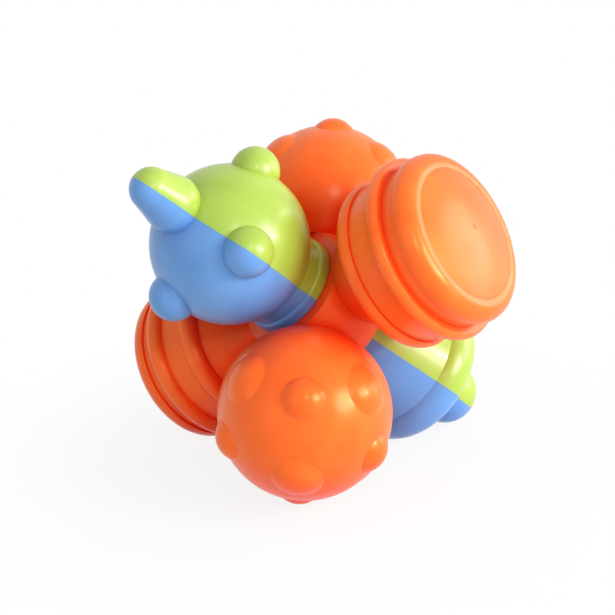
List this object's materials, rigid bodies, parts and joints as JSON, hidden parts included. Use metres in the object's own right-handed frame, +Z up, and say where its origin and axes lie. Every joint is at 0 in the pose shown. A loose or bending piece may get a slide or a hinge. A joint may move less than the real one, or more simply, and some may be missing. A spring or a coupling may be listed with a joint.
{
  "type": "sensory ball",
  "caption": "Baby sensory toy shaped like a jack: bumpy balls and ribbed drums fixed on a hub, with a green and blue knob pair that turns on a spindle through it.",
  "frame": {"origin": "the point on the table straight below the centre of the hub", "axes": "+Z up; +Y away from the viewer of the picture, +X to the viewer's right"},
  "size_m": [0.1158, 0.1132, 0.1003],
  "materials": {
    "orange_plastic": "satin moulded",
    "lime_plastic": "satin moulded",
    "blue_plastic": "satin moulded",
    "natural_nylon": "matte moulded"
  },
  "bodies": {
    "frame": {"hub": "orange_plastic", "front_bumpy_ball": "orange_plastic", "rear_bumpy_ball": "orange_plastic", "right_ribbed_drum": "orange_plastic", "left_ribbed_drum": "orange_plastic", "right_drum_cap": "orange_plastic", "left_drum_cap": "orange_plastic"},
    "spinner": {"spindle": "natural_nylon", "green_ball_half": "lime_plastic", "blue_ball_half": "blue_plastic", "green_bell_half": "lime_plastic", "blue_bell_half": "blue_plastic"}
  },
  "joints": [
    {"name": "spinner_turn", "type": "hinge", "parent": "frame", "child": "spinner", "pos_m": [0, 0, 0.04915], "axis": [-0.6593, -0.3848, 0.646], "continuous": true}
  ]
}
